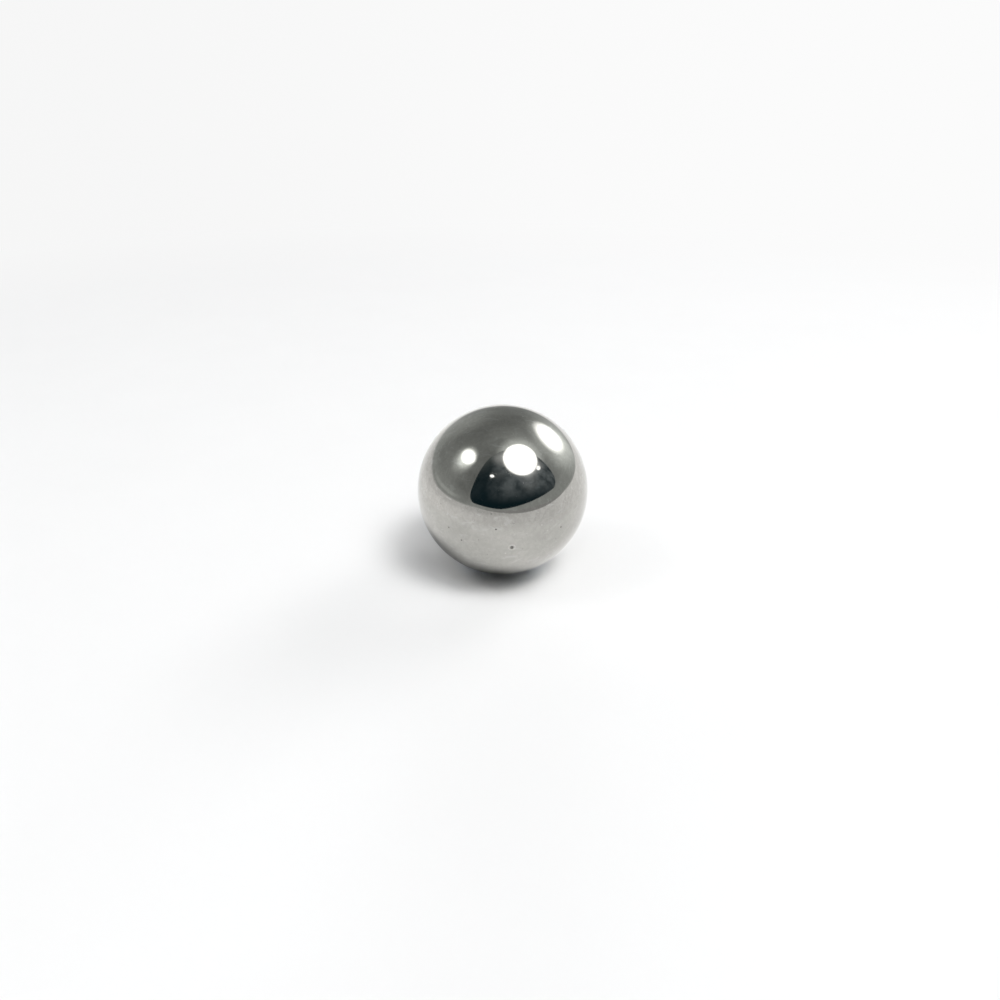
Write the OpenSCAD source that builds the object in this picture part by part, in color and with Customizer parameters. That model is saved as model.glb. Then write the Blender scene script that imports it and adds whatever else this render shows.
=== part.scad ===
// Polished steel ball, ground and lapped from one piece of solid steel.
// One dent and a few small pits mark the mirror finish.
// Millimetres, +Z up. The origin is at the centre of the ball, and -Y is the front.

/* [Ball] */
// Diameter of the ball
ball_d = 20; // [10:0.5:60]

/* [Dent] */
// Width across the mouth of the dent
dent_w = 0.42; // [0.2:0.02:1]
// Depth of the dent below the polished surface
dent_depth = 0.07; // [0.03:0.01:0.1]
// Longitude of the dent, measured round +Z from +X
dent_lon = -84; // [-180:1:180]
// Latitude of the dent, up from the ball's equator
dent_lat = -12; // [-80:1:80]

/* [Pits] */
// Width across the mouth of each pit
pit_w = 0.2; // [0.1:0.02:0.4]
// Depth of each pit below the polished surface
pit_depth = 0.035; // [0.02:0.005:0.05]

/* [Hidden] */

// Longitude and latitude of each pit in degrees, measured as the dent's are
PITS = [[-50, -4], [-94, 2], [-117, -10], [-126, -3]];

// Sides of the ball and of a hollow where they are drawn as a mesh
BALL_SIDES = 180;
HOLLOW_SIDES = 48;

ball_r = ball_d / 2;

// How far a flat plane through a mouth of this width lies below the ball's surface
function mouth_drop(width) = ball_r - sqrt(pow(ball_r, 2) - pow(width / 2, 2));

// Radius of the sphere that leaves a hollow of this width, sunk this far below its mouth
function cutter_r(width, sink) = (pow(width / 2, 2) + pow(sink, 2)) / (2 * sink);

// Cuts one round-bottomed hollow, with its lowest point at depth below the ball's surface
module hollow(width, depth, lon, lat) {
    radius = cutter_r(width, depth - mouth_drop(width));
    rotate([0, -lat, lon])
        translate([ball_r - depth + radius, 0, 0])
            sphere(r = radius, $fn = HOLLOW_SIDES);
}

module ball() {
    color("silver")
        difference() {
            sphere(d = ball_d, $fn = BALL_SIDES);
            hollow(dent_w, dent_depth, dent_lon, dent_lat);
            for (place = PITS)
                hollow(pit_w, pit_depth, place[0], place[1]);
        }
}

ball();
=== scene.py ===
"""A polished steel ball on a white paper sheet, in a plain grey room with three soft lamps and two sparks.

Lengths are metres and angles degrees. +Z is up, the origin is the centre of the ball, and -Y is the front.
"""
import math
import random
from collections import namedtuple

import bmesh
import bpy
from mathutils import Matrix, Quaternion, Vector
from mathutils.kdtree import KDTree


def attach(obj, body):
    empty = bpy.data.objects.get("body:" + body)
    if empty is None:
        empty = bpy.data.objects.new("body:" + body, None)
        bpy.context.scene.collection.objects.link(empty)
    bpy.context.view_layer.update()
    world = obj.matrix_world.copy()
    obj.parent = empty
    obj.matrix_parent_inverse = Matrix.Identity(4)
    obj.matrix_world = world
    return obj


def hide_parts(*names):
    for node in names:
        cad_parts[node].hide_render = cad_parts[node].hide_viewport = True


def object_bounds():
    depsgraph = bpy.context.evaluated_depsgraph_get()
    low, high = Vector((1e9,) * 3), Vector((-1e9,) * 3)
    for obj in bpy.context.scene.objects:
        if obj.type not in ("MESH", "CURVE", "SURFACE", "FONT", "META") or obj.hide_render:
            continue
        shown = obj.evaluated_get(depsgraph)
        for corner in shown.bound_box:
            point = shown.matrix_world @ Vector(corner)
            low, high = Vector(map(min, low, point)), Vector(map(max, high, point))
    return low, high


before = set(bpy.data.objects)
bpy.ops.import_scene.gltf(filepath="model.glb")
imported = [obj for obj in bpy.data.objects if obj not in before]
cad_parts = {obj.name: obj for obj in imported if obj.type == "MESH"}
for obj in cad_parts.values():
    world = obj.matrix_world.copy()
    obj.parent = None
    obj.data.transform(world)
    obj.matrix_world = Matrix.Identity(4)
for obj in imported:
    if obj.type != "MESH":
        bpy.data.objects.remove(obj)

LOW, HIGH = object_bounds()
MM = 0.001
# Noise keeps mostly between these levels
NOISE_SPREAD = (0.3, 0.7)

# ---------------------------------------------------------------- the ball's shape
BALL_R = (HIGH.z - LOW.z) / 2
BALL_SUBDIVISIONS = 7
FINER_PASSES = 3
# An edge near a mark is cut in two while it is longer than this share of the mark's mouth
FINEST_EDGE = 0.07
# A mark's reach, in radii of its mouth
MARK_REACH = 2.4
# A vertex that lies nearer than this to the true ball is on it
ON_THE_BALL = 1e-8

# A hollow or a spot on the ball. Its radius is that of its mouth and its lip is a height. Its stain is
# above 0 for dark dirt and below 0 for a pale spot.
Mark = namedtuple("Mark", "place radius depth lip stain")

# Longitude, latitude, width across the mouth and depth of each hollow
DENT = (-84, -12, 0.42 * MM, 0.07 * MM)
PIT_PLACES = [(-50, -4), (-94, 2), (-117, -10), (-126, -3)]
PIT_SIZE = (0.20 * MM, 0.035 * MM)
SPECK_PLACES = [(-83, 6), (-97, 12), (-133, 11), (-105, -7), (-100, -19), (-77, -14), (-53, -12)]
SPECK_SIZE = (0.11 * MM, 0.016 * MM)
# Spots that lie pale on the surface
SPOT_PLACES = [(-65, 2), (-55, -32), (-71, -29), (-142, -41), (-61, -3), (-88, -17)]
SPOT_WIDTH = 0.16 * MM
STRAY_PITS = 90
# The front keeps only the marks listed above, so stray pits start this share of a radius back
STRAY_FRONT = -0.25
STRAY_WIDTHS = (0.05 * MM, 0.12 * MM)
STRAY_DEPTH_SHARE = 0.15
STRAY_SEED = 20

# Share of the mouth's radius at which the hollow's wall starts to round over into the surface
RIM_START = 0.85
# The dent pushed up a low lip round it: how high, and how far out and how wide in radii of its mouth
LIP_HEIGHT = 0.007 * MM
LIP_PLACE = 1.3
LIP_SPREAD = 0.2
# A pit's dirt is whole up to the first of these distances, in radii of its mouth, and ends at the second
DIRT_REACH = (0.5, 1.4)
DENT_DIRT = 1.0
PIT_DIRT = 0.65
# Painted glint round the dent's lip, as a pale ring: how pale, how far out and how wide, in radii of its
# mouth
LIP_PAINTED_GLINT = 0.65
LIP_GLINT_PLACE = 1.75
LIP_GLINT_SPREAD = 0.32

# ---------------------------------------------------------------- the ball's finish
STEEL_CLEAN = (0.458, 0.450, 0.423, 1)
STEEL_SMEARED = (0.413, 0.405, 0.380, 1)
# Roughness of the clean steel and of the smeared steel
STEEL_ROUGHNESS = (0.030, 0.055)
# Each layer over them, from the lowest up: its share of cover, its colour and the roughness that it adds
LAYERS = {
    "mottling": (0.80, (0.394, 0.386, 0.362, 1), 0.02),
    "streaks": (0.60, (0.518, 0.514, 0.495, 1), 0.02),
    "dust": (0.60, (0.30, 0.29, 0.27, 1), 0.25),
    "scratches": (0.35, (0.34, 0.335, 0.325, 1), 0.10),
    # Pale spots and the painted glint round the dent's lip
    "pale spots and painted glint": (0.60, (0.72, 0.71, 0.69, 1), 0.12),
    "dirt": (1.00, (0.06, 0.055, 0.05, 1), 0.40),
}
# Each film: how it is drawn out, its scale and detail, and the noise levels between which it shows
SMEARS = ((1, 2.6, 1.4), 420.0, 6.0, 0.40, 0.70)
MOTTLING = ((1.6, 1, 1.2), 1500.0, 5.0, 0.36, 0.66)
STREAKS = ((1, 2.2, 2.8), 560.0, 3.0, 0.55, 0.70)
FILM_TURN = (0.4, 0.7, 0.5)
FILM_GRAIN = 0.62
FILM_SWIRL = 0.8
# Scale, width in metres and share of bare cells for each size of scratch
SCRATCHES = [(520.0, 0.010 * MM, 0.62), (900.0, 0.007 * MM, 0.50), (1700.0, 0.004 * MM, 0.40)]
# Shares of a cell from its middle at which a scratch has ended and is whole
SCRATCH_ENDS = (0.62, 0.15)
# Dust lies in cells of this scale, and a share of them is bare
DUST_SCALE = 1300.0
DUST_BARE_SHARE = 0.55
# The smallest speck that shows and the largest, in shares of a cell
DUST_SIZES = (0.004, 0.055)
# A speck fades out between its size and this many times its size, and its edge is ragged by these shares
DUST_SOFT_EDGE = 1.4
DUST_RAGGED_SCALE = 26000.0
DUST_RAGGED_SHARES = (0.7, 1.4)
# Dirt and pale lip are uneven, at this scale and between these shares
STAIN_SCALE = 6500.0
STAIN_SHARES = (0.35, 1.15)
# Depth of a scratch, the strength of the relief, and the share of that depth by which dust stands up
RELIEF_DEPTH = 0.002 * MM
RELIEF_STRENGTH = 0.25
DUST_RELIEF = 0.3

# ---------------------------------------------------------------- the paper and the plain background
FLOOR_R = 1.6
FLOOR_SIDES = 96
FLOOR_GAP = 0.2 * MM
FLOOR_WHITE = 0.90
FIBRE_SCALE = 60.0
FIBRE_CHANGE = 0.012
# Painted shade: close under the ball the paper's own colour is painted colder, as in its shade
SHADE_COLOUR = (0.845, 0.885, 0.935, 1)
SHADE_REACH = (0.0119, 0.0104)
# Painted falloff of light on the plain background: its tone at its left and at its right, and how much
# whiter it is in front
BACKGROUND_WHITE = (0.925, 0.965)
BACKGROUND_SIDES = (-0.6, 0.4)
WHITER_FRONT = 0.06
WHITER_FRONT_SHARES = (0.0, 0.7)
# Distances from the ball between which the lit paper goes over into the plain background, for the eye
# and for the steel
EYE_FADE = (0.06, 0.30)
STEEL_FADE = (0.025, 0.050)
# Azimuth is measured round the ball from the front (-Y) towards +X. A glow is given by its azimuth and
# elevation, the angles from there at which it starts to fade and at which it ends, and its strength.
# Tone of the plain paper that the steel shows, and the painted shade by which it changes round the ball
STEEL_WHITE = 1.16
STEEL_WHITE_PAINTED_SHADE = [
    (20, 0, 20, 115, -0.26),
    (171, 0, 2, 20, -0.10),
    (-140, 0, 10, 28, -0.09),
]
# To the front left a painted shade darkens it more with its distance
FAR_PAINTED_SHADE = [(-60, 0, 45, 101, 0.22)]
FAR_REACH = (0.05, 0.16)
# Painted light and shade: gain of the lit paper near the ball, as the steel shows it, and its painted
# changes: the azimuth of each, the angles from there at which it starts to fade and at which it ends, its
# strength, and the distances from the ball's centre at which it starts and is whole
NEAR_PAINTED_GAIN = 1.12
NEAR_PAINTED_LIGHT_AND_SHADE = [
    (20, 26, 90, -0.12, 0.100, 0.050),
    (0, 10, 50, 0.11, 0.100, 0.050),
    (0, 180, 181, 0.22, 0.0200, 0.0080),
    (-75, 26, 143, -0.52, 0.0200, 0.0080),
    (-90, 20, 48, -0.30, 0.0184, 0.0138),
    (-110, 10, 30, -0.15, 0.0225, 0.0165),
    (-15, 20, 45, -0.14, 0.0130, 0.0118),
]

# ---------------------------------------------------------------- the lamps
LAMP_DISTANCE = 1.2
# name: azimuth, elevation, half-width and half-height in degrees, tilt, radiance at its rim and
# added at its middle, and the share of its radius over which the rim eases off
LAMPS = {
    "key lamp": (47.7, 60.2, 22.5, 21.7, 0, 2.4, 16.0, 0.12),
    "left lamp": (-80.5, 49.0, 14.3, 9.9, 9, 2.8, 6.0, 0.58),
    "right lamp": (132.1, 30.4, 23.2, 17.6, -31, 2.8, 4.0, 0.57),
    "left spark": (-18.3, 43.0, 3.2, 2.1, 0, 3.2, 0, 0.35),
    "right spark": (66.5, 39.5, 3.8, 3.0, 0, 2.4, 0, 0.5),
}
# Share of a lamp's radius at which its brighter middle ends
HOT_MIDDLE = 0.72

# ---------------------------------------------------------------- the room
# Radiance of the walls at a few elevations
WALL_TONES = [(3, 0.45), (22, 0.33), (42, 0.24), (80, 0.20), (90, 0.13)]
# How much red and blue the walls give for each share of green
WALL_TINT = (0.957, 1.0, 0.980)
# The walls are a little uneven, at this scale and between these shares
WALL_CLOUD_SCALE = 2.2
WALL_CLOUD_SHARES = (0.93, 1.07)
# Soft glows on the walls
WALL_GLOWS = [
    (50, 60, 20, 33, 0.45),
    (60, 60, 20, 40, 0.15),
    (100, 75, 5, 40, 0.15),
    (-81, 47, 5, 16, 1.00),
    (-83, 43, 5, 20, 0.50),
    (-85, 45, 5, 40, 0.10),
    (130, 27, 12, 25, 0.30),
    (128, 26, 12, 33, 0.35),
    (116, 34, 12, 26, 0.20),
    (116, 34, 12, 45, 0.10),
    (145, 5, 0, 28, 0.40),
    (-150, 20, 0, 30, 0.15),
    (-150, 40, 0, 20, 0.10),
    (-150, 80, 0, 35, 0.05),
    (140, 15, 0, 18, 0.20),
    (145, 0, 0, 12, -0.20),
    (170, 0, 0, 15, -0.10),
    (-50, 20, 0, 30, -0.10),
    (180, 10, 0, 25, -0.10),
]
# Soft light that matt surfaces get from the room
FILL_TINT = (0.985, 1.0, 1.012)
FILL_GLOWS = [
    (0, 65, 0, 30, 2.0),
    (-90, 65, 0, 30, 1.0),
    (-150, 5, 0, 22, 4.5),
    (180, 5, 0, 22, 11.5),
]
# At the left the wall ends in a pale hem: its place and reach as a glow, and the heights, as shares of
# its distance, at which it starts, is whole, starts to fade and ends
HEM_GLOW = (-83, 5, 14, 27, 0.14)
HEM_HEIGHTS = (0.040, 0.075, 0.105, 0.140)
# Below its walls the room goes over into this white, at heights given as shares of their distance
FRONT_WHITE = 0.90
HORIZON = (-0.050, 0.032)
# The paper curves up a little behind the ball: a glow whose strength is how much, as a share of its
# distance
PAPER_SWEEP = (-152, 0, 20, 60, 0.070)

# ---------------------------------------------------------------- the grey strip in front
# In front the steel shows a grey strip on the paper: the azimuth of its middle, the angle to each side at
# which its rounded near edge has run away to the horizon, the distance of that edge and of its far edge
FRONT_STRIP_AZIMUTH = 29
FRONT_STRIP_SPREAD = 67
FRONT_STRIP_NEAR = 0.142
FRONT_STRIP_ROUNDNESS = 1.4
FRONT_STRIP_FAR = 1.5
FRONT_STRIP_TONE = 0.41
FRONT_STRIP_CUTS = 48
# At its two ends the near edge would run off without end, so its nearness stops here
LEAST_NEARNESS = 0.001
# Beyond it the wall starts lower: a glow whose strength is how much, as a share of the wall's distance
FRONT_STRIP_DROP = (FRONT_STRIP_AZIMUTH, 0, FRONT_STRIP_SPREAD / 2, FRONT_STRIP_SPREAD, 0.04)

# ---------------------------------------------------------------- the dark opening
# The dark arched opening in the room's front wall, in shares of its distance from the ball
OPENING_DISTANCE = 1.0
OPENING_AZIMUTH = 20
OPENING_HALF_WIDTH = 1.98
OPENING_SHIFT = -0.13
OPENING_BOTTOM = 0.03
OPENING_TOP = 5.0
OPENING_TOP_CORNER = 2.0
OPENING_BOTTOM_CORNER = 0.60
# Share of its half-width by which the left side leans in at the top
OPENING_LEAN = 0.26
# Its bottom edge is lowest at this place left of its middle, rounded there, and climbs at these slopes to
# the left and to the right
SAG_PLACE = -0.42
SAG_ROUND = 0.15
SAG_SLOPE_LEFT = 0.125
SAG_SLOPE_RIGHT = 0.172
SAG_CUTS = 24
CORNER_SEGMENTS = 16
# Heights that differ by less than this are one edge
LEVEL = 1e-5

CLOTH_DARK = (0.007, 0.020, 0.026, 1)
CLOTH_PALE = (0.18, 0.205, 0.22, 1)
CLOTH_TOP = (0.11, 0.125, 0.125, 1)
FOLD_SCALE = 2.4
FOLD_LEVELS = (0.34, 0.66)
FOLD_SHARES = (0.25, 1.0)
# The cloth grows paler between these heights and, from this share, between these places to the right
PALER_HEIGHTS = (0.10, 0.62)
PALER_PLACES = (-0.7, 0.25)
PALER_LEAST = 0.10
# Its top's own tone comes in between these heights
TOP_HEIGHTS = (1.0, 4.0)
# Soft glows on the cloth
OPENING_GLOWS = [
    (48.6, 60.2, 20, 26, 0.30),
    (54, 48, 6, 20, 0.25),
    (72, 40, 0, 8, 0.20),
    (42, 32, 4, 18, 0.09),
    (-9, 46, 0, 13, 0.08),
    (-4, 68, 0, 15, 0.40),
]

# ---------------------------------------------------------------- the camera
CAMERA_ELEVATION = 27
CAMERA_DISTANCE = 8.87 * BALL_R
CAMERA_LENS = 27
AIM_SIDE = -0.0303 * BALL_R
AIM_DROP = -0.1248 * BALL_R


def towards(azimuth, elevation):
    """Unit vector from the ball towards a place in the room."""
    a = math.radians(azimuth)
    e = math.radians(elevation)
    return Vector((math.sin(a) * math.cos(e), -math.cos(a) * math.cos(e), math.sin(e)))


def on_ball(longitude, latitude):
    """Point of the ball's surface at a longitude from +X and a latitude, as the CAD gives them."""
    lon = math.radians(longitude)
    lat = math.radians(latitude)
    return BALL_R * Vector((math.cos(lat) * math.cos(lon), math.cos(lat) * math.sin(lon), math.sin(lat)))


def new_object(name, bm, material):
    """Turns a finished bmesh into an object with one material."""
    mesh = bpy.data.meshes.new(name)
    bm.to_mesh(mesh)
    bm.free()
    mesh.materials.append(material)
    made = bpy.data.objects.new(name, mesh)
    bpy.context.scene.collection.objects.link(made)
    return made


# ================================================================ the ball's shape
def list_marks():
    """Every mark on the ball, the dent first."""
    lon, lat, width, depth = DENT
    marks = [Mark(on_ball(lon, lat), width / 2, depth, LIP_HEIGHT, DENT_DIRT)]
    for places, (width, depth) in ((PIT_PLACES, PIT_SIZE), (SPECK_PLACES, SPECK_SIZE)):
        for lon, lat in places:
            marks.append(Mark(on_ball(lon, lat), width / 2, depth, 0, PIT_DIRT))
    for lon, lat in SPOT_PLACES:
        marks.append(Mark(on_ball(lon, lat), SPOT_WIDTH / 2, 0, 0, -1))
    chance = random.Random(STRAY_SEED)
    for _ in range(STRAY_PITS):
        lon = chance.uniform(-180, 180)
        lat = math.degrees(math.asin(chance.uniform(-1, 1)))
        width = chance.uniform(*STRAY_WIDTHS)
        place = on_ball(lon, lat)
        if place.y > STRAY_FRONT * BALL_R:
            marks.append(Mark(place, width / 2, width * STRAY_DEPTH_SHARE, 0, PIT_DIRT))
    return marks


def vertices_near(bm, marks, margin=0.0):
    """For each mark, the vertices within its reach."""
    bm.verts.index_update()
    bm.verts.ensure_lookup_table()
    tree = KDTree(len(bm.verts))
    for vert in bm.verts:
        tree.insert(vert.co, vert.index)
    tree.balance()
    near = []
    for mark in marks:
        found = tree.find_range(mark.place, mark.radius * MARK_REACH + margin)
        near.append([bm.verts[index] for _, index, _ in found])
    return near


def refine_round_marks(bm, marks):
    """Cuts the edges round each mark in two until its mouth is many edges wide."""
    for _ in range(FINER_PASSES):
        bm.edges.index_update()
        longest = max(edge.calc_length() for edge in bm.edges)
        chosen = {}
        for mark, verts in zip(marks, vertices_near(bm, marks, longest / 2)):
            for vert in verts:
                for edge in vert.link_edges:
                    if edge.calc_length() > 2 * mark.radius * FINEST_EDGE:
                        chosen[edge.index] = edge
        edges = [chosen[index] for index in sorted(chosen)]
        bmesh.ops.subdivide_edges(bm, edges=edges, cuts=1, use_grid_fill=True)
        for vert in bm.verts:
            vert.co *= BALL_R / vert.co.length
        many_sided = [face for face in bm.faces if len(face.verts) > 3]
        bmesh.ops.triangulate(bm, faces=many_sided)


def hollow_profile(across):
    """Share of its depth that a hollow has at a distance given in radii of its mouth."""
    if across <= RIM_START:
        return 1 - across ** 2
    left = 1 - RIM_START ** 2
    ease = 1 - (across - RIM_START) * RIM_START / left
    return left * max(ease, 0) ** 2


def smooth_step(value, start, end):
    """0 before start, 1 past end, and smooth between them."""
    share = min(max((value - start) / (end - start), 0), 1)
    return share * share * (3 - 2 * share)


def bell(value, middle, spread):
    """1 at the middle, falling off smoothly to both sides."""
    return math.exp(-((value - middle) / spread) ** 2)


def press_marks(bm, marks):
    """Pushes each hollow in along the ball's radius, with a rounded rim, and stains it; round the dent's
    lip it paints a pale glint.
    """
    stain_and_glint_layer = bm.verts.layers.float["stain"]
    for mark, verts in zip(marks, vertices_near(bm, marks)):
        for vert in verts:
            across = (vert.co - mark.place).length / mark.radius
            rise = mark.lip * bell(across, LIP_PLACE, LIP_SPREAD)
            vert.co += vert.co.normalized() * (rise - mark.depth * hollow_profile(across))
            stain_and_glint = mark.stain * smooth_step(across, DIRT_REACH[1], DIRT_REACH[0])
            # Painted glint: a pale ring round the dent's lip, kept in the stain layer
            if mark.lip:
                stain_and_glint -= LIP_PAINTED_GLINT * bell(across, LIP_GLINT_PLACE, LIP_GLINT_SPREAD)
            if abs(stain_and_glint) > abs(vert[stain_and_glint_layer]):
                vert[stain_and_glint_layer] = stain_and_glint


def round_normals(bm):
    """Each vertex's normal: straight out where the ball is untouched, and the mesh's own in a mark."""
    bm.normal_update()
    normals = []
    for vert in bm.verts:
        untouched = abs(vert.co.length - BALL_R) < ON_THE_BALL
        normals.append(vert.co.normalized() if untouched else vert.normal.copy())
    return normals


def make_ball():
    """The ball: a fine sphere, finer still round its marks, which are pressed into it."""
    bm = bmesh.new()
    # The stain layer also holds the painted glint round the dent's lip
    bm.verts.layers.float.new("stain")
    bmesh.ops.create_icosphere(bm, subdivisions=BALL_SUBDIVISIONS, radius=BALL_R)
    marks = list_marks()
    refine_round_marks(bm, marks)
    press_marks(bm, marks)
    bmesh.ops.recalc_face_normals(bm, faces=bm.faces)
    normals = round_normals(bm)
    ball = new_object("polished_ball", bm, polished_steel())
    ball.data.shade_smooth()
    ball.data.normals_split_custom_set_from_vertices(normals)
    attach(ball, "root")
    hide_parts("ball")
    return ball


# ================================================================ nodes
def add(tree, kind, **settings):
    """A new node with some of its settings."""
    node = tree.nodes.new("ShaderNode" + kind)
    for name, value in settings.items():
        setattr(node, name, value)
    return node


def put(tree, socket, value):
    """Links a socket to another, or sets it to a plain value."""
    if isinstance(value, bpy.types.NodeSocket):
        tree.links.new(value, socket)
    elif value is not None:
        socket.default_value = value


def feed(tree, target, **values):
    """Sets or links a node's inputs: names in lower case, with _ for a space."""
    for name, value in values.items():
        wanted = name.replace("_", " ")
        put(tree, next(s for s in target.inputs if s.name.lower() == wanted and s.enabled), value)
    return target


def maths(tree, operation, first, second=None, third=None, clamp=False):
    node = add(tree, "Math", operation=operation, use_clamp=clamp)
    for socket, value in zip(node.inputs, (first, second, third)):
        put(tree, socket, value)
    return node.outputs[0]


def vector_maths(tree, operation, first, second=None):
    node = add(tree, "VectorMath", operation=operation)
    for socket, value in zip(node.inputs, (first, second)):
        put(tree, socket, value)
    return next(socket for socket in node.outputs if socket.enabled)


def ramp(tree, value, low, high, out_low=0.0, out_high=1.0):
    """A smooth step from out_low to out_high while the value goes from low to high."""
    node = add(tree, "MapRange", interpolation_type="SMOOTHSTEP")
    feed(tree, node, value=value, from_min=low, from_max=high, to_min=out_low, to_max=out_high)
    return node.outputs["Result"]


def mix(tree, factor, first, second, kind="RGBA"):
    """A mix of two colours or, with the kind FLOAT, of two values."""
    node = add(tree, "Mix", data_type=kind)
    feed(tree, node, factor=factor, a=first, b=second)
    return node.outputs["Result"]


def noise(tree, place, scale, detail, **more):
    node = add(tree, "TexNoise", noise_dimensions="3D")
    feed(tree, node, vector=place, scale=scale, detail=detail, **more)
    return node.outputs[0]


def separate(tree, vector):
    """The X, Y and Z of a vector, by name."""
    parts = add(tree, "SeparateXYZ")
    tree.links.new(vector, parts.inputs[0])
    return parts.outputs


def cells_of(tree, place, scale):
    """Cells with one point in each, and the red, green and blue chances of the nearest one."""
    cells = add(tree, "TexVoronoi", feature="F1", distance="EUCLIDEAN")
    feed(tree, cells, vector=place, scale=scale, randomness=1.0)
    chances = add(tree, "SeparateColor")
    feed(tree, chances, color=cells.outputs["Color"])
    return cells.outputs, chances.outputs


def grey(level):
    return (level, level, level, 1)


def new_material(name):
    """A material with no nodes yet, and its node tree."""
    material = bpy.data.materials.new(name)
    material.use_nodes = True
    material.node_tree.nodes.clear()
    return material, material.node_tree


def put_out(tree, kind, shader):
    """Ends a material's, the world's or a lamp's nodes."""
    tree.links.new(shader, add(tree, "Output" + kind).inputs["Surface"])


def new_group(name, inputs):
    """An empty node group with the inputs whose kinds are given, and their sockets inside it."""
    tree = bpy.data.node_groups.new(name, "ShaderNodeTree")
    for socket_name, kind in inputs.items():
        tree.interface.new_socket(socket_name, in_out="INPUT", socket_type="NodeSocket" + kind)
    return tree, tree.nodes.new("NodeGroupInput").outputs


def close_group(tree, name, value):
    """Gives a node group its one output, a value with this name."""
    tree.interface.new_socket(name, in_out="OUTPUT", socket_type="NodeSocketFloat")
    outside = tree.nodes.new("NodeGroupOutput")
    tree.links.new(value, outside.inputs[name])
    return tree


def place_group(tree, group, **values):
    """Places a node group and feeds its inputs."""
    return feed(tree, add(tree, "Group", node_tree=group), **values).outputs[0]


# ================================================================ effects
def scratch_group():
    """Short straight scratches, one in each cell, that run across the surface in any direction."""
    sockets = {"Position": "Vector", "Scale": "Float", "Width": "Float", "Bare share": "Float"}
    tree, given = new_group("straight scratches", sockets)
    place = given["Position"]
    cells, chances = cells_of(tree, place, given["Scale"])
    offset = vector_maths(tree, "SUBTRACT", place, cells["Position"])
    lean = vector_maths(tree, "SUBTRACT", cells["Color"], (0.5, 0.5, 0.5))
    across = vector_maths(tree, "NORMALIZE", vector_maths(tree, "CROSS_PRODUCT", lean, place))
    from_line = maths(tree, "ABSOLUTE", vector_maths(tree, "DOT_PRODUCT", offset, across))
    line = maths(tree, "SUBTRACT", 1.0, maths(tree, "DIVIDE", from_line, given["Width"]), clamp=True)
    taper = ramp(tree, cells["Distance"], *SCRATCH_ENDS)
    shown = maths(tree, "GREATER_THAN", chances["Green"], given["Bare share"])
    mask = maths(tree, "MULTIPLY", maths(tree, "MULTIPLY", line, taper), shown)
    return close_group(tree, "Mask", mask)


def glow_group():
    """A soft round glow towards one place in the room."""
    sockets = {
        "Direction": "Vector",
        "Place": "Vector",
        "Inner": "Float",
        "Outer": "Float",
        "Strength": "Float",
    }
    tree, given = new_group("soft glow", sockets)
    nearness = vector_maths(tree, "DOT_PRODUCT", given["Direction"], given["Place"])
    angle = maths(tree, "ARCCOSINE", nearness)
    glow = ramp(tree, angle, given["Outer"], given["Inner"], 0.0, given["Strength"])
    return close_group(tree, "Glow", glow)


def background_group():
    """Tone of the plain background in a direction, with a painted falloff of light: a little grey at the
    left, and white in front.
    """
    tree, given = new_group("plain background", {"Direction": "Vector"})
    rightwards = vector_maths(tree, "DOT_PRODUCT", given["Direction"], (1, 0, 0))
    forwards = vector_maths(tree, "DOT_PRODUCT", given["Direction"], (0, -1, 0))
    tone = ramp(tree, rightwards, *BACKGROUND_SIDES, *BACKGROUND_WHITE)
    whiter = ramp(tree, forwards, *WHITER_FRONT_SHARES, 0.0, WHITER_FRONT)
    return close_group(tree, "Tone", maths(tree, "ADD", tone, whiter, clamp=True))


STRAIGHT_SCRATCHES = scratch_group()
SOFT_GLOW = glow_group()
PLAIN_BACKGROUND = background_group()


def glow_sum(tree, direction, glows):
    """Soft round glows towards places in the room, added up."""
    total = None
    for azimuth, elevation, inner, outer, strength in glows:
        glow = place_group(
            tree,
            SOFT_GLOW,
            direction=direction,
            place=towards(azimuth, elevation),
            inner=math.radians(inner),
            outer=math.radians(outer),
            strength=strength,
        )
        total = glow if total is None else maths(tree, "ADD", total, glow)
    return total


# ================================================================ the ball's finish
def film_mask(tree, place, drawn_out, scale, detail, low, high):
    """Share of a thin film on the surface, drawn out one way."""
    along = add(tree, "Mapping", vector_type="POINT")
    feed(tree, along, vector=place, rotation=FILM_TURN, scale=drawn_out)
    film = noise(
        tree, along.outputs[0], scale=scale, detail=detail, roughness=FILM_GRAIN, distortion=FILM_SWIRL
    )
    return ramp(tree, film, low, high)


def scratch_mask(tree, place):
    """Scratches of every size."""
    marks = 0.0
    for scale, width, bare_share in SCRATCHES:
        mask = place_group(
            tree, STRAIGHT_SCRATCHES, position=place, scale=scale, width=width, bare_share=bare_share
        )
        marks = maths(tree, "MAXIMUM", mask, marks)
    return marks


def dust_mask(tree, place):
    """Specks of dust, a few hundredths of a millimetre across, on some of the cells."""
    cells, chances = cells_of(tree, place, DUST_SCALE)
    smallest, largest = DUST_SIZES
    size = ramp(tree, chances["Red"], DUST_BARE_SHARE, 1.0, 0.0, largest)
    edge = maths(tree, "MULTIPLY", size, DUST_SOFT_EDGE)
    grain = noise(tree, place, scale=DUST_RAGGED_SCALE, detail=1.0)
    ragged = ramp(tree, grain, *NOISE_SPREAD, *DUST_RAGGED_SHARES)
    from_middle = maths(tree, "MULTIPLY", cells["Distance"], ragged)
    shown = maths(tree, "GREATER_THAN", size, smallest)
    return maths(tree, "MULTIPLY", ramp(tree, from_middle, edge, size), shown)


def stain_and_glint_mask(tree, place):
    """The stain that the shape carries, made uneven: dirt above 0, and below 0 pale spots and the painted
    glint round the dent's lip.
    """
    stain_and_glint = add(tree, "Attribute", attribute_type="GEOMETRY", attribute_name="stain").outputs["Fac"]
    patches = noise(tree, place, scale=STAIN_SCALE, detail=2.0)
    uneven = ramp(tree, patches, *NOISE_SPREAD, *STAIN_SHARES)
    return maths(tree, "MULTIPLY", stain_and_glint, uneven)


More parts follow.
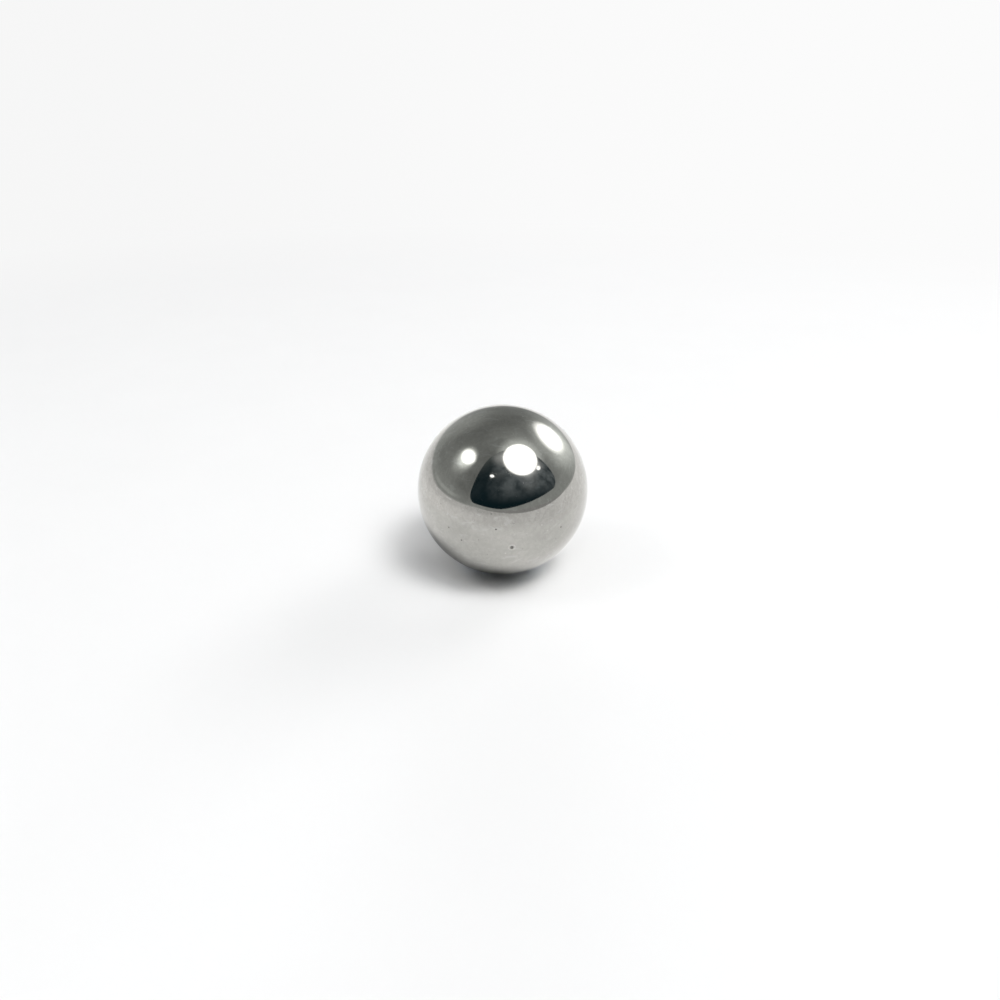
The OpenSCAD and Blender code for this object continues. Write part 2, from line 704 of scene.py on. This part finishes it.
def polished_steel():
    """Mirror-lapped bearing steel with fine scratches, a film from handling, dirt in its pits, dust, pale
    spots and a painted glint round the dent's lip.
    """
    material, tree = new_material("polished steel")
    place = add(tree, "TexCoord").outputs["Object"]
    smears = film_mask(tree, place, *SMEARS)
    stain = stain_and_glint_mask(tree, place)
    masks = {
        "mottling": film_mask(tree, place, *MOTTLING),
        "streaks": film_mask(tree, place, *STREAKS),
        "dust": dust_mask(tree, place),
        "scratches": scratch_mask(tree, place),
        # Pale spots, and the painted glint round the dent's lip
        "pale spots and painted glint": maths(tree, "MAXIMUM", maths(tree, "MULTIPLY", stain, -1.0), 0.0),
        "dirt": maths(tree, "MAXIMUM", stain, 0.0),
    }
    colour = mix(tree, smears, STEEL_CLEAN, STEEL_SMEARED)
    rough = ramp(tree, smears, 0.0, 1.0, *STEEL_ROUGHNESS)
    for layer, (share, layer_colour, roughness) in LAYERS.items():
        colour = mix(tree, maths(tree, "MULTIPLY", masks[layer], share), colour, layer_colour)
        rough = maths(tree, "MULTIPLY_ADD", masks[layer], roughness, rough)

    dust_rise = maths(tree, "MULTIPLY", masks["dust"], DUST_RELIEF)
    height = maths(tree, "SUBTRACT", dust_rise, masks["scratches"])
    bump = add(tree, "Bump")
    feed(tree, bump, strength=RELIEF_STRENGTH, distance=RELIEF_DEPTH, height=height)

    steel = add(tree, "BsdfPrincipled")
    feed(tree, steel, base_color=colour, metallic=1.0, roughness=rough, normal=bump.outputs[0])
    put_out(tree, "Material", steel.outputs[0])
    return material


# ================================================================ the paper
def plain_light(tree, colour):
    """A surface that shows one colour whatever lights it."""
    plain = add(tree, "Emission")
    feed(tree, plain, color=colour, strength=1.0)
    return plain.outputs[0]


def mix_shaders(tree, factor, first, second):
    both = add(tree, "MixShader")
    for socket, value in zip(both.inputs, (factor, first, second)):
        tree.links.new(value, socket)
    return both.outputs[0]


def seen_in_mirror(tree, rays):
    """1 for what the steel shows, or glass would."""
    return maths(tree, "ADD", rays["Is Glossy Ray"], rays["Is Transmission Ray"], clamp=True)


def painted_paper_light_and_shade(tree, outwards, away):
    """Painted light and shade on the lit paper as the steel shows it, near the ball, round it and by
    distance.
    """
    painted_gain = NEAR_PAINTED_GAIN
    for azimuth, inner, outer, strength, start, whole in NEAR_PAINTED_LIGHT_AND_SHADE:
        change = glow_sum(tree, outwards, [(azimuth, 0, inner, outer, strength)])
        painted_gain = maths(tree, "MULTIPLY_ADD", change, ramp(tree, away, start, whole), painted_gain)
    return painted_gain


def paper_white():
    """White paper near the ball, which keeps its shadow, with painted light and shade where the steel
    shows it, and the plain background further off.
    """
    material, tree = new_material("white paper")
    place = add(tree, "TexCoord").outputs["Object"]
    away = vector_maths(tree, "LENGTH", place)
    outwards = vector_maths(tree, "NORMALIZE", vector_maths(tree, "MULTIPLY", place, (1, 1, 0)))
    rays = add(tree, "LightPath").outputs
    eye = maths(tree, "MULTIPLY", rays["Is Camera Ray"], ramp(tree, away, *EYE_FADE))
    mirrored = seen_in_mirror(tree, rays)

    fibres = noise(tree, place, scale=FIBRE_SCALE, detail=4.0)
    colour = mix(tree, fibres, grey(FLOOR_WHITE - FIBRE_CHANGE), grey(FLOOR_WHITE + FIBRE_CHANGE))
    # Painted shade: the paper is coloured colder close under the ball
    colour = mix(tree, ramp(tree, away, *SHADE_REACH), colour, SHADE_COLOUR)
    # Painted light and shade: the steel shows the paper's colour brighter or darker near the ball
    painted_gain = mix(tree, mirrored, 1.0, painted_paper_light_and_shade(tree, outwards, away), kind="FLOAT")
    paper = add(tree, "BsdfDiffuse")
    feed(tree, paper, color=vector_maths(tree, "MULTIPLY", colour, painted_gain))

    to_eye = plain_light(tree, place_group(tree, PLAIN_BACKGROUND, direction=outwards))
    # Painted shade on the plain paper that the steel shows, round the ball and with distance
    level = maths(tree, "ADD", glow_sum(tree, outwards, STEEL_WHITE_PAINTED_SHADE), STEEL_WHITE)
    painted_falloff = maths(tree, "MULTIPLY", glow_sum(tree, outwards, FAR_PAINTED_SHADE), ramp(tree, away, *FAR_REACH))
    to_steel = plain_light(tree, maths(tree, "MULTIPLY", level, maths(tree, "SUBTRACT", 1.0, painted_falloff)))

    far_for_steel = maths(tree, "MULTIPLY", mirrored, ramp(tree, away, *STEEL_FADE))
    seen = mix_shaders(tree, eye, paper.outputs[0], to_eye)
    put_out(tree, "Material", mix_shaders(tree, far_for_steel, seen, to_steel))
    return material


def make_floor():
    """The round sheet of paper that the ball lies on."""
    bm = bmesh.new()
    bmesh.ops.create_circle(bm, cap_ends=True, segments=FLOOR_SIDES, radius=FLOOR_R)
    bmesh.ops.translate(bm, verts=bm.verts, vec=(0, 0, LOW.z))
    floor = new_object("paper_floor", bm, paper_white())
    return floor


# ================================================================ what the steel shows of the room
def reflected_card(name, bm, material):
    """A card that shows in the steel and nowhere else."""
    card = new_object(name, bm, material)
    card.visible_camera = False
    card.visible_diffuse = False
    card.visible_shadow = False
    return card


def dark_cloth():
    """Matt dark cloth that fills the opening: nearly black low down, greyer and uneven higher up."""
    material, tree = new_material("dark opening")
    place = add(tree, "TexCoord").outputs["Object"]
    at = separate(tree, place)
    folds = noise(tree, place, scale=FOLD_SCALE, detail=4.0, roughness=0.55, distortion=0.4)
    fold = ramp(tree, folds, *FOLD_LEVELS, *FOLD_SHARES)
    higher = ramp(tree, at["Z"], *PALER_HEIGHTS)
    rightwards = ramp(tree, at["X"], *PALER_PLACES, PALER_LEAST, 1.0)
    pale = maths(tree, "MULTIPLY", fold, maths(tree, "MULTIPLY", higher, rightwards))
    colour = mix(tree, pale, CLOTH_DARK, CLOTH_PALE)
    colour = mix(tree, ramp(tree, at["Z"], *TOP_HEIGHTS), colour, CLOTH_TOP)
    glows = glow_sum(tree, vector_maths(tree, "NORMALIZE", place), OPENING_GLOWS)
    put_out(tree, "Material", plain_light(tree, vector_maths(tree, "ADD", colour, glows)))
    return material


def round_corners(bm, corners, reach):
    bmesh.ops.bevel(
        bm,
        geom=corners,
        offset=reach,
        affect="VERTICES",
        segments=CORNER_SEGMENTS,
        profile=0.5,
        material=-1,
    )


def bend_opening(bm, half_height):
    """Leans the opening's left side in at its top and lets its bottom edge sag."""
    for vert in bm.verts:
        share_down = (half_height - vert.co.y) / (2 * half_height)
        if vert.co.x < 0:
            vert.co.x *= 1 - OPENING_LEAN * (1 - share_down)
        vert.co.x += OPENING_SHIFT
        along = vert.co.x - SAG_PLACE
        slope = SAG_SLOPE_RIGHT if along > 0 else SAG_SLOPE_LEFT
        climb = math.hypot(along, SAG_ROUND) - SAG_ROUND
        vert.co.y += slope * climb * share_down ** 2


def make_opening():
    """An arched dark card that stands for the room's opening."""
    bm = bmesh.new()
    bmesh.ops.create_grid(bm, x_segments=1, y_segments=1, size=1)
    half_height = (OPENING_TOP - OPENING_BOTTOM) / 2
    bmesh.ops.scale(bm, verts=bm.verts, vec=(OPENING_HALF_WIDTH, half_height, 1))
    bottom = [v for v in bm.verts if v.co.y < 0]
    top = [v for v in bm.verts if v.co.y > 0]
    round_corners(bm, top, OPENING_TOP_CORNER)
    round_corners(bm, bottom, OPENING_BOTTOM_CORNER)
    lowest = min(v.co.y for v in bm.verts)
    edge = [e for e in bm.edges if all(v.co.y - lowest < LEVEL for v in e.verts)]
    longest = max(edge, key=lambda e: e.calc_length())
    bmesh.ops.subdivide_edges(bm, edges=[longest], cuts=SAG_CUTS)
    bend_opening(bm, half_height)
    bmesh.ops.translate(bm, verts=bm.verts, vec=(0, half_height + OPENING_BOTTOM, 0))
    upright = Matrix.Rotation(math.radians(90), 3, "X")
    turn = Matrix.Rotation(math.radians(OPENING_AZIMUTH), 3, "Z")
    bmesh.ops.rotate(bm, verts=bm.verts, cent=(0, 0, 0), matrix=turn @ upright)
    bmesh.ops.translate(bm, verts=bm.verts, vec=towards(OPENING_AZIMUTH, 0))
    bmesh.ops.scale(bm, verts=bm.verts, vec=(OPENING_DISTANCE,) * 3)
    return reflected_card("dark_opening", bm, dark_cloth())


def front_strip_grey():
    material, tree = new_material("grey front strip")
    put_out(tree, "Material", plain_light(tree, grey(FRONT_STRIP_TONE)))
    return material


def make_front_strip():
    """The grey strip in front, whose rounded near edge runs away to the horizon at both sides."""
    bm = bmesh.new()
    bmesh.ops.create_grid(bm, x_segments=FRONT_STRIP_CUTS, y_segments=1, size=1)
    for vert in bm.verts:
        away = FRONT_STRIP_FAR
        if vert.co.y < 0:
            nearness = max(math.cos(vert.co.x * math.pi / 2), LEAST_NEARNESS) ** FRONT_STRIP_ROUNDNESS
            away = min(FRONT_STRIP_NEAR / nearness, FRONT_STRIP_FAR)
        vert.co = towards(vert.co.x * FRONT_STRIP_SPREAD, 0) * away
    bmesh.ops.translate(bm, verts=bm.verts, vec=(0, 0, LOW.z + FLOOR_GAP))
    turn = Matrix.Rotation(math.radians(FRONT_STRIP_AZIMUTH), 3, "Z")
    bmesh.ops.rotate(bm, verts=bm.verts, cent=(0, 0, 0), matrix=turn)
    return reflected_card("grey_front_strip", bm, front_strip_grey())


def wall_colour(tree, direction, up):
    """Colour of the room's walls in a direction."""
    level = WALL_TONES[0][1]
    for (low, before), (high, after) in zip(WALL_TONES, WALL_TONES[1:]):
        foot = math.sin(math.radians(low))
        head = math.sin(math.radians(high))
        level = maths(tree, "ADD", level, ramp(tree, up, foot, head, 0.0, after - before))
    clouds = noise(tree, direction, scale=WALL_CLOUD_SCALE, detail=3.0)
    level = maths(tree, "MULTIPLY", level, ramp(tree, clouds, *NOISE_SPREAD, *WALL_CLOUD_SHARES))
    level = maths(tree, "ADD", level, glow_sum(tree, direction, WALL_GLOWS))
    start, whole, fading, end = HEM_HEIGHTS
    hem = maths(tree, "MULTIPLY", ramp(tree, up, start, whole), ramp(tree, up, end, fading))
    level = maths(tree, "MULTIPLY_ADD", hem, glow_sum(tree, direction, [HEM_GLOW]), level)
    return vector_maths(tree, "MULTIPLY", level, WALL_TINT)


def make_room():
    """Grey walls for the steel, a plain white background for the eye and soft light for matt surfaces."""
    world = bpy.data.worlds.new("grey room")
    bpy.context.scene.world = world
    world.use_nodes = True
    tree = world.node_tree
    tree.nodes.clear()
    direction = add(tree, "TexCoord").outputs["Generated"]
    up = separate(tree, direction)["Z"]

    dropped = maths(tree, "ADD", up, glow_sum(tree, direction, [FRONT_STRIP_DROP]))
    above_foot = maths(tree, "SUBTRACT", dropped, glow_sum(tree, direction, [PAPER_SWEEP]))
    wall_share = ramp(tree, above_foot, *HORIZON)
    walls = mix(tree, wall_share, grey(FRONT_WHITE), wall_colour(tree, direction, up))
    soft_light = vector_maths(tree, "MULTIPLY", glow_sum(tree, direction, FILL_GLOWS), FILL_TINT)
    white = place_group(tree, PLAIN_BACKGROUND, direction=direction)
    plain, room, fill = (
        feed(tree, add(tree, "Background"), color=colour, strength=1.0).outputs[0]
        for colour in (white, walls, soft_light)
    )
    rays = add(tree, "LightPath").outputs
    seen = mix_shaders(tree, rays["Is Camera Ray"], fill, plain)
    put_out(tree, "World", mix_shaders(tree, seen_in_mirror(tree, rays), seen, room))


# ================================================================ lamps and camera
def make_lamp(name, azimuth, elevation, half_width, half_height, tilt, rim, middle, easing):
    """A round or oval soft lamp that faces the ball, brighter in its middle and easing off at its rim."""
    light = bpy.data.lights.new(name, "AREA")
    light.shape = "ELLIPSE"
    light.size = 2 * LAMP_DISTANCE * math.tan(math.radians(half_width))
    light.size_y = 2 * LAMP_DISTANCE * math.tan(math.radians(half_height))
    # At this power the lamp's radiance is the strength that its nodes give
    light.energy = math.pi * math.pi * light.size * light.size_y / 4
    light.use_nodes = True
    tree = light.node_tree
    tree.nodes.clear()
    place = add(tree, "NewGeometry").outputs["Parametric"]
    across = vector_maths(tree, "SUBTRACT", place, (0.5, 0.5, 0))
    from_middle = vector_maths(tree, "LENGTH", vector_maths(tree, "MULTIPLY", across, (2, 2, 0)))
    strength = ramp(tree, from_middle, 1.0, 1.0 - easing, 0.0, rim)
    if middle:
        strength = maths(tree, "ADD", strength, ramp(tree, from_middle, HOT_MIDDLE, 0.0, 0.0, middle))
    glow = add(tree, "Emission")
    feed(tree, glow, color=(1, 1, 1, 1), strength=strength)
    put_out(tree, "Light", glow.outputs[0])

    lamp = bpy.data.objects.new(name, light)
    lamp.location = towards(azimuth, elevation) * LAMP_DISTANCE
    lamp.rotation_mode = "QUATERNION"
    facing = towards(azimuth, elevation).to_track_quat("Z", "Y")
    lamp.rotation_quaternion = facing @ Quaternion((0, 0, 1), math.radians(tilt))
    lamp.visible_camera = False
    bpy.context.scene.collection.objects.link(lamp)
    return lamp


def make_camera():
    """The camera in front of the ball and above it, aimed a little past its middle."""
    back = towards(0, CAMERA_ELEVATION)
    side = Vector((1, 0, 0))
    rise = back.cross(side)
    place = back * CAMERA_DISTANCE
    aim = side * AIM_SIDE + rise * AIM_DROP
    data = bpy.data.cameras.new("camera")
    data.lens = CAMERA_LENS
    data.clip_start = BALL_R / 10
    data.clip_end = 2 * FLOOR_R
    camera = bpy.data.objects.new("camera", data)
    camera.location = place
    camera.rotation_mode = "QUATERNION"
    camera.rotation_quaternion = (aim - place).to_track_quat("-Z", "Y")
    bpy.context.scene.collection.objects.link(camera)
    bpy.context.scene.camera = camera
    return camera


bpy.context.scene.view_settings.view_transform = "Standard"
make_camera()
make_room()
make_floor()
make_opening()
make_front_strip()
for lamp_name, lamp_facts in LAMPS.items():
    make_lamp(lamp_name, *lamp_facts)
make_ball()
